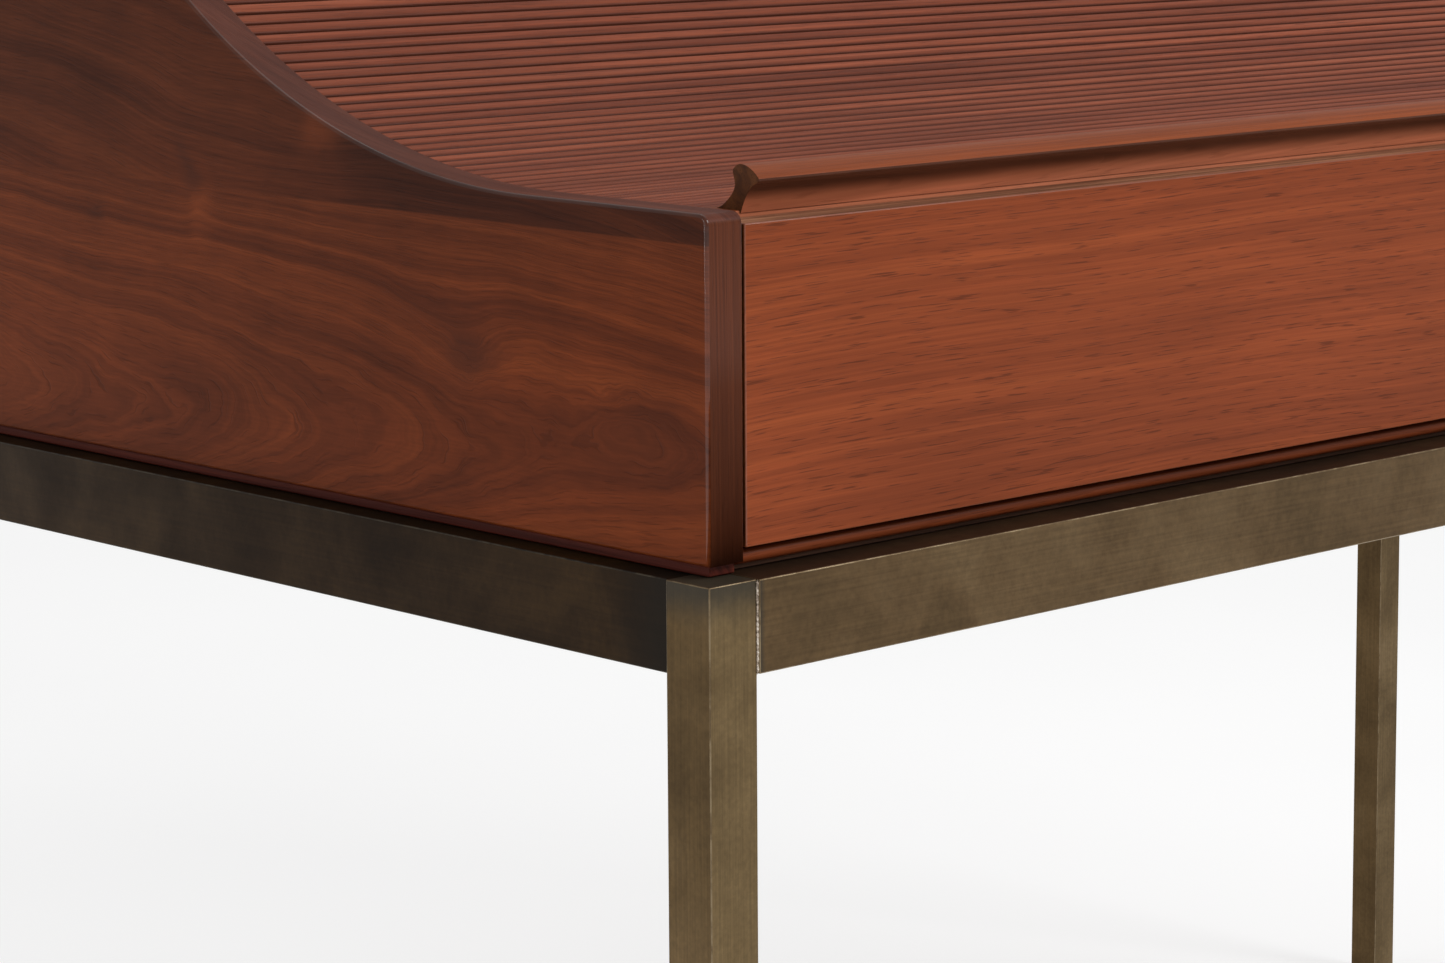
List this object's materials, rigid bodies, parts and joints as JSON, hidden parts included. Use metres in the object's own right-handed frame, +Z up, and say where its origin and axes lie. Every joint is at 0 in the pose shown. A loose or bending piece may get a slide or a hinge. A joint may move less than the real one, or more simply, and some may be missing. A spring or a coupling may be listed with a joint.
{
  "type": "roll top desk",
  "caption": "Roll top desk: walnut case with a tambour that slides back over pigeonholes and drawers, on a welded bronze bar frame.",
  "frame": {"origin": "on the floor, midway between the outer faces of the bronze frame", "axes": "+X to the sitter's right along the front, -Y towards the sitter, +Z up"},
  "size_m": [1.4446, 0.8354, 0.9287],
  "materials": {
    "walnut_side": "oiled walnut, red-brown, strong figure, satin",
    "walnut_front": "oiled walnut, orange-red, straight horizontal grain, satin",
    "walnut_slat": "oiled walnut slats, varied from slat to slat, satin",
    "walnut_inside": "oiled walnut inside the case, satin",
    "dark_strip": "dark stained spacer strip",
    "drawer_wood": "pale maple drawer lining, clear lacquer",
    "bronze": "bronze bar with an uneven olive-brown patina, welded corners",
    "knob_brass": "satin brass",
    "glide": "dark nylon"
  },
  "bodies": {
    "case": {"back_panel": "walnut_side", "bolt_front_left": "bronze", "bolt_front_right": "bronze", "bolt_rear_left": "bronze", "bolt_rear_right": "bronze", "bottom_board": "walnut_inside", "drawer_divider_1": "walnut_inside", "drawer_divider_2": "walnut_inside", "gallery_back": "walnut_inside", "gallery_end_left": "walnut_inside", "gallery_end_right": "walnut_inside", "gallery_post_1": "walnut_inside", "gallery_post_2": "walnut_inside", "gallery_shelf": "walnut_inside", "gallery_top": "walnut_inside", "glide_front_left": "glide", "glide_front_right": "glide", "glide_rear_left": "glide", "glide_rear_right": "glide", "leg_front_left": "bronze", "leg_front_right": "bronze", "leg_rear_left": "bronze", "leg_rear_right": "bronze", "pigeonhole_divider_1": "walnut_inside", "pigeonhole_divider_2": "walnut_inside", "pigeonhole_divider_3": "walnut_inside", "rail_front": "bronze", "rail_left": "bronze", "rail_rear": "bronze", "rail_right": "bronze", "side_left": "walnut_side", "side_right": "walnut_side", "strip_front": "dark_strip", "strip_left": "dark_strip", "strip_rear": "dark_strip", "strip_right": "dark_strip", "top_board": "walnut_side", "writing_surface": "walnut_inside"},
    "drawer_left": {"drawer_front_left": "walnut_front", "drawer_box_left": "drawer_wood"},
    "drawer_middle": {"drawer_front_middle": "walnut_front", "drawer_box_middle": "drawer_wood"},
    "drawer_right": {"drawer_front_right": "walnut_front", "drawer_box_right": "drawer_wood"},
    "small_drawer_left": {"small_drawer_left": "walnut_front", "knob_left": "knob_brass"},
    "small_drawer_right": {"small_drawer_right": "walnut_front", "knob_right": "knob_brass"},
    "lead_slat": {"lead_slat": "walnut_front"},
    "tambour_section_01": {"tambour_section_01": "walnut_slat"},
    "tambour_section_02": {"tambour_section_02": "walnut_slat"},
    "tambour_section_03": {"tambour_section_03": "walnut_slat"},
    "tambour_section_04": {"tambour_section_04": "walnut_slat"},
    "tambour_section_05": {"tambour_section_05": "walnut_slat"},
    "tambour_section_06": {"tambour_section_06": "walnut_slat"},
    "tambour_section_07": {"tambour_section_07": "walnut_slat"},
    "tambour_section_08": {"tambour_section_08": "walnut_slat"},
    "tambour_section_09": {"tambour_section_09": "walnut_slat"},
    "tambour_section_10": {"tambour_section_10": "walnut_slat"},
    "tambour_section_11": {"tambour_section_11": "walnut_slat"}
  },
  "joints": [
    {"name": "drawer_left_slide", "type": "slide", "parent": "case", "child": "drawer_left", "axis": [0, -1, 0], "range_m": [0, 0.44]},
    {"name": "drawer_middle_slide", "type": "slide", "parent": "case", "child": "drawer_middle", "axis": [0, -1, 0], "range_m": [0, 0.44]},
    {"name": "drawer_right_slide", "type": "slide", "parent": "case", "child": "drawer_right", "axis": [0, -1, 0], "range_m": [0, 0.44]},
    {"name": "small_drawer_left_slide", "type": "slide", "parent": "case", "child": "small_drawer_left", "axis": [0, -1, 0], "range_m": [0, 0.145]},
    {"name": "small_drawer_right_slide", "type": "slide", "parent": "case", "child": "small_drawer_right", "axis": [0, -1, 0], "range_m": [0, 0.145]},
    {"name": "tambour_travel", "type": "slide", "parent": "case", "child": "lead_slat", "axis": [0, 0.9367, 0.3501], "range_m": [0, 0.46801]},
    {"name": "section_01_run", "type": "slide", "parent": "case", "child": "tambour_section_01", "axis": [0, 0.9367, 0.3501], "range_m": [0, 0.46801], "deforming": ["tambour_section_01"]},
    {"name": "section_02_run", "type": "hinge", "parent": "case", "child": "tambour_section_02", "pos_m": [0, 4.65763, -11.91835], "axis": [1, 0, 0], "range_deg": [-1.97, 0], "deforming": ["tambour_section_02"]},
    {"name": "section_03_run", "type": "hinge", "parent": "case", "child": "tambour_section_03", "pos_m": [0, 0.93357, -1.85179], "axis": [1, 0, 0], "range_deg": [-9.37, 0], "deforming": ["tambour_section_03"]},
    {"name": "section_04_run", "type": "hinge", "parent": "case", "child": "tambour_section_04", "pos_m": [0, 0.50629, -0.6353], "axis": [1, 0, 0], "range_deg": [-17.07, 0], "deforming": ["tambour_section_04"]},
    {"name": "section_05_run", "type": "hinge", "parent": "case", "child": "tambour_section_05", "pos_m": [0, 0.3588, -0.16989], "axis": [1, 0, 0], "range_deg": [-24.77, 0], "deforming": ["tambour_section_05"]},
    {"name": "section_06_run", "type": "hinge", "parent": "case", "child": "tambour_section_06", "pos_m": [0, 0.27209, 0.15414], "axis": [1, 0, 0], "range_deg": [-35.75, 0], "deforming": ["tambour_section_06"]},
    {"name": "section_07_run", "type": "hinge", "parent": "case", "child": "tambour_section_07", "pos_m": [0, 0.17528, 0.6416], "axis": [1, 0, 0], "range_deg": [-92.71, 0], "deforming": ["tambour_section_07"]},
    {"name": "section_08_run", "type": "hinge", "parent": "case", "child": "tambour_section_08", "pos_m": [0, 0.16961, 0.75934], "axis": [1, 0, 0], "range_deg": [-133.73, 0], "deforming": ["tambour_section_08"]},
    {"name": "section_09_run", "type": "hinge", "parent": "case", "child": "tambour_section_09", "pos_m": [0, 0.16457, 0.72618], "axis": [1, 0, 0], "range_deg": [-119.01, 0], "deforming": ["tambour_section_09"]},
    {"name": "section_10_run", "type": "hinge", "parent": "case", "child": "tambour_section_10", "pos_m": [0, 0.14207, 0.66468], "axis": [1, 0, 0], "range_deg": [-94.55, 0], "deforming": ["tambour_section_10"]},
    {"name": "section_11_run", "type": "hinge", "parent": "case", "child": "tambour_section_11", "pos_m": [0, 0.1349, 0.65248], "axis": [1, 0, 0], "range_deg": [-90, 0], "deforming": ["tambour_section_11"]}
  ],
  "couplings": [
    {"joint": "section_01_run", "follows": "tambour_travel", "ratio": 1},
    {"joint": "section_02_run", "follows": "tambour_travel", "rad_per_m": -0.073512},
    {"joint": "section_03_run", "follows": "tambour_travel", "rad_per_m": -0.34938},
    {"joint": "section_04_run", "follows": "tambour_travel", "rad_per_m": -0.63662},
    {"joint": "section_05_run", "follows": "tambour_travel", "rad_per_m": -0.92386},
    {"joint": "section_06_run", "follows": "tambour_travel", "rad_per_m": -1.3333},
    {"joint": "section_07_run", "follows": "tambour_travel", "rad_per_m": -3.4576},
    {"joint": "section_08_run", "follows": "tambour_travel", "rad_per_m": -4.9871},
    {"joint": "section_09_run", "follows": "tambour_travel", "rad_per_m": -4.4381},
    {"joint": "section_10_run", "follows": "tambour_travel", "rad_per_m": -3.526},
    {"joint": "section_11_run", "follows": "tambour_travel", "rad_per_m": -3.3563}
  ]
}
